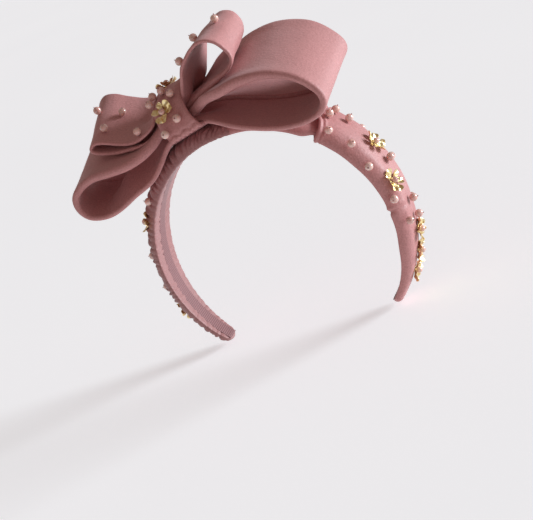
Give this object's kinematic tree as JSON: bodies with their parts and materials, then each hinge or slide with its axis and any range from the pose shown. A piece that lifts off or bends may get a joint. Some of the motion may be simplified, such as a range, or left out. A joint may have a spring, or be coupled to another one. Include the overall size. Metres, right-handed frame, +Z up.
{
  "type": "fascinator headpiece",
  "caption": "Padded sprung headband with a stiff double bow of open ribbon loops, knot, sewn pearls and metal flowers, worn across the top of the head.",
  "frame": {"origin": "centre of the arc of the band that sits on the head, in the middle of the band's width", "axes": "+Z up from the head's centre to the crown of the band, +X to the wearer's left, -Y to the wearer's front, the way the drooping loop opens"},
  "size_m": [0.1909, 0.0766, 0.192],
  "materials": {
    "rose_fabric": "matt crepe, dusty rose",
    "ruched_fabric": "matt crepe gathered into fine folds",
    "lining_ribbon": "grosgrain ribbon",
    "sprung_core": "moulded flexible plastic",
    "padding": "soft open foam",
    "interfacing": "stiff buckram",
    "gilt_metal": "hammered pale gilt",
    "pearl": "pearl lustre, blush",
    "thread": "twisted sewing thread"
  },
  "bodies": {
    "crown": {"lining_crown": "lining_ribbon", "core_crown": "sprung_core", "foam_crown": "padding", "centre_wrap": "rose_fabric", "ruched_cover_crown": "ruched_fabric", "bow_base": "interfacing", "knot_padding": "padding", "knot_strip": "rose_fabric", "large_loop_right": "rose_fabric", "large_loop_left": "rose_fabric", "small_loop_right": "rose_fabric", "small_loop_left": "rose_fabric", "large_stiffener_right": "interfacing", "large_stiffener_left": "interfacing", "small_stiffener_right": "interfacing", "small_stiffener_left": "interfacing", "flower_knot_front": "gilt_metal", "flower_knot_top": "gilt_metal", "pearls_knot": "pearl", "pearls_small_loop_right": "pearl", "pearls_small_loop_left": "pearl", "flower_pearls_knot": "pearl", "threads_bow": "thread"},
    "arm_right": {"lining_right": "lining_ribbon", "core_right": "sprung_core", "foam_right": "padding", "sleeve_right": "rose_fabric", "sleeve_hem": "rose_fabric", "tip_fold_right": "rose_fabric", "flower_right_1": "gilt_metal", "flower_right_2": "gilt_metal", "flower_right_3": "gilt_metal", "flower_right_4": "gilt_metal", "flower_right_5": "gilt_metal", "pearls_right_arm": "pearl", "flower_pearls_right_arm": "pearl", "threads_right_arm": "thread"},
    "arm_left": {"lining_left": "lining_ribbon", "core_left": "sprung_core", "foam_left": "padding", "ruched_cover_left": "ruched_fabric", "tip_fold_left": "rose_fabric", "flower_left_1": "gilt_metal", "flower_left_2": "gilt_metal", "flower_left_3": "gilt_metal", "pearls_left_arm": "pearl", "flower_pearls_left_arm": "pearl", "threads_left_arm": "thread"}
  },
  "joints": [
    {"name": "right_arm_flex", "type": "hinge", "parent": "crown", "child": "arm_right", "pos_m": [0.04514, 0, 0.0599], "axis": [0, -1, 0], "range_deg": [-5, 8], "stiffness_Nm_per_rad": 1.2},
    {"name": "left_arm_flex", "type": "hinge", "parent": "crown", "child": "arm_left", "pos_m": [-0.05395, 0, 0.0521], "axis": [0, 1, 0], "range_deg": [-5, 8], "stiffness_Nm_per_rad": 1.2}
  ]
}
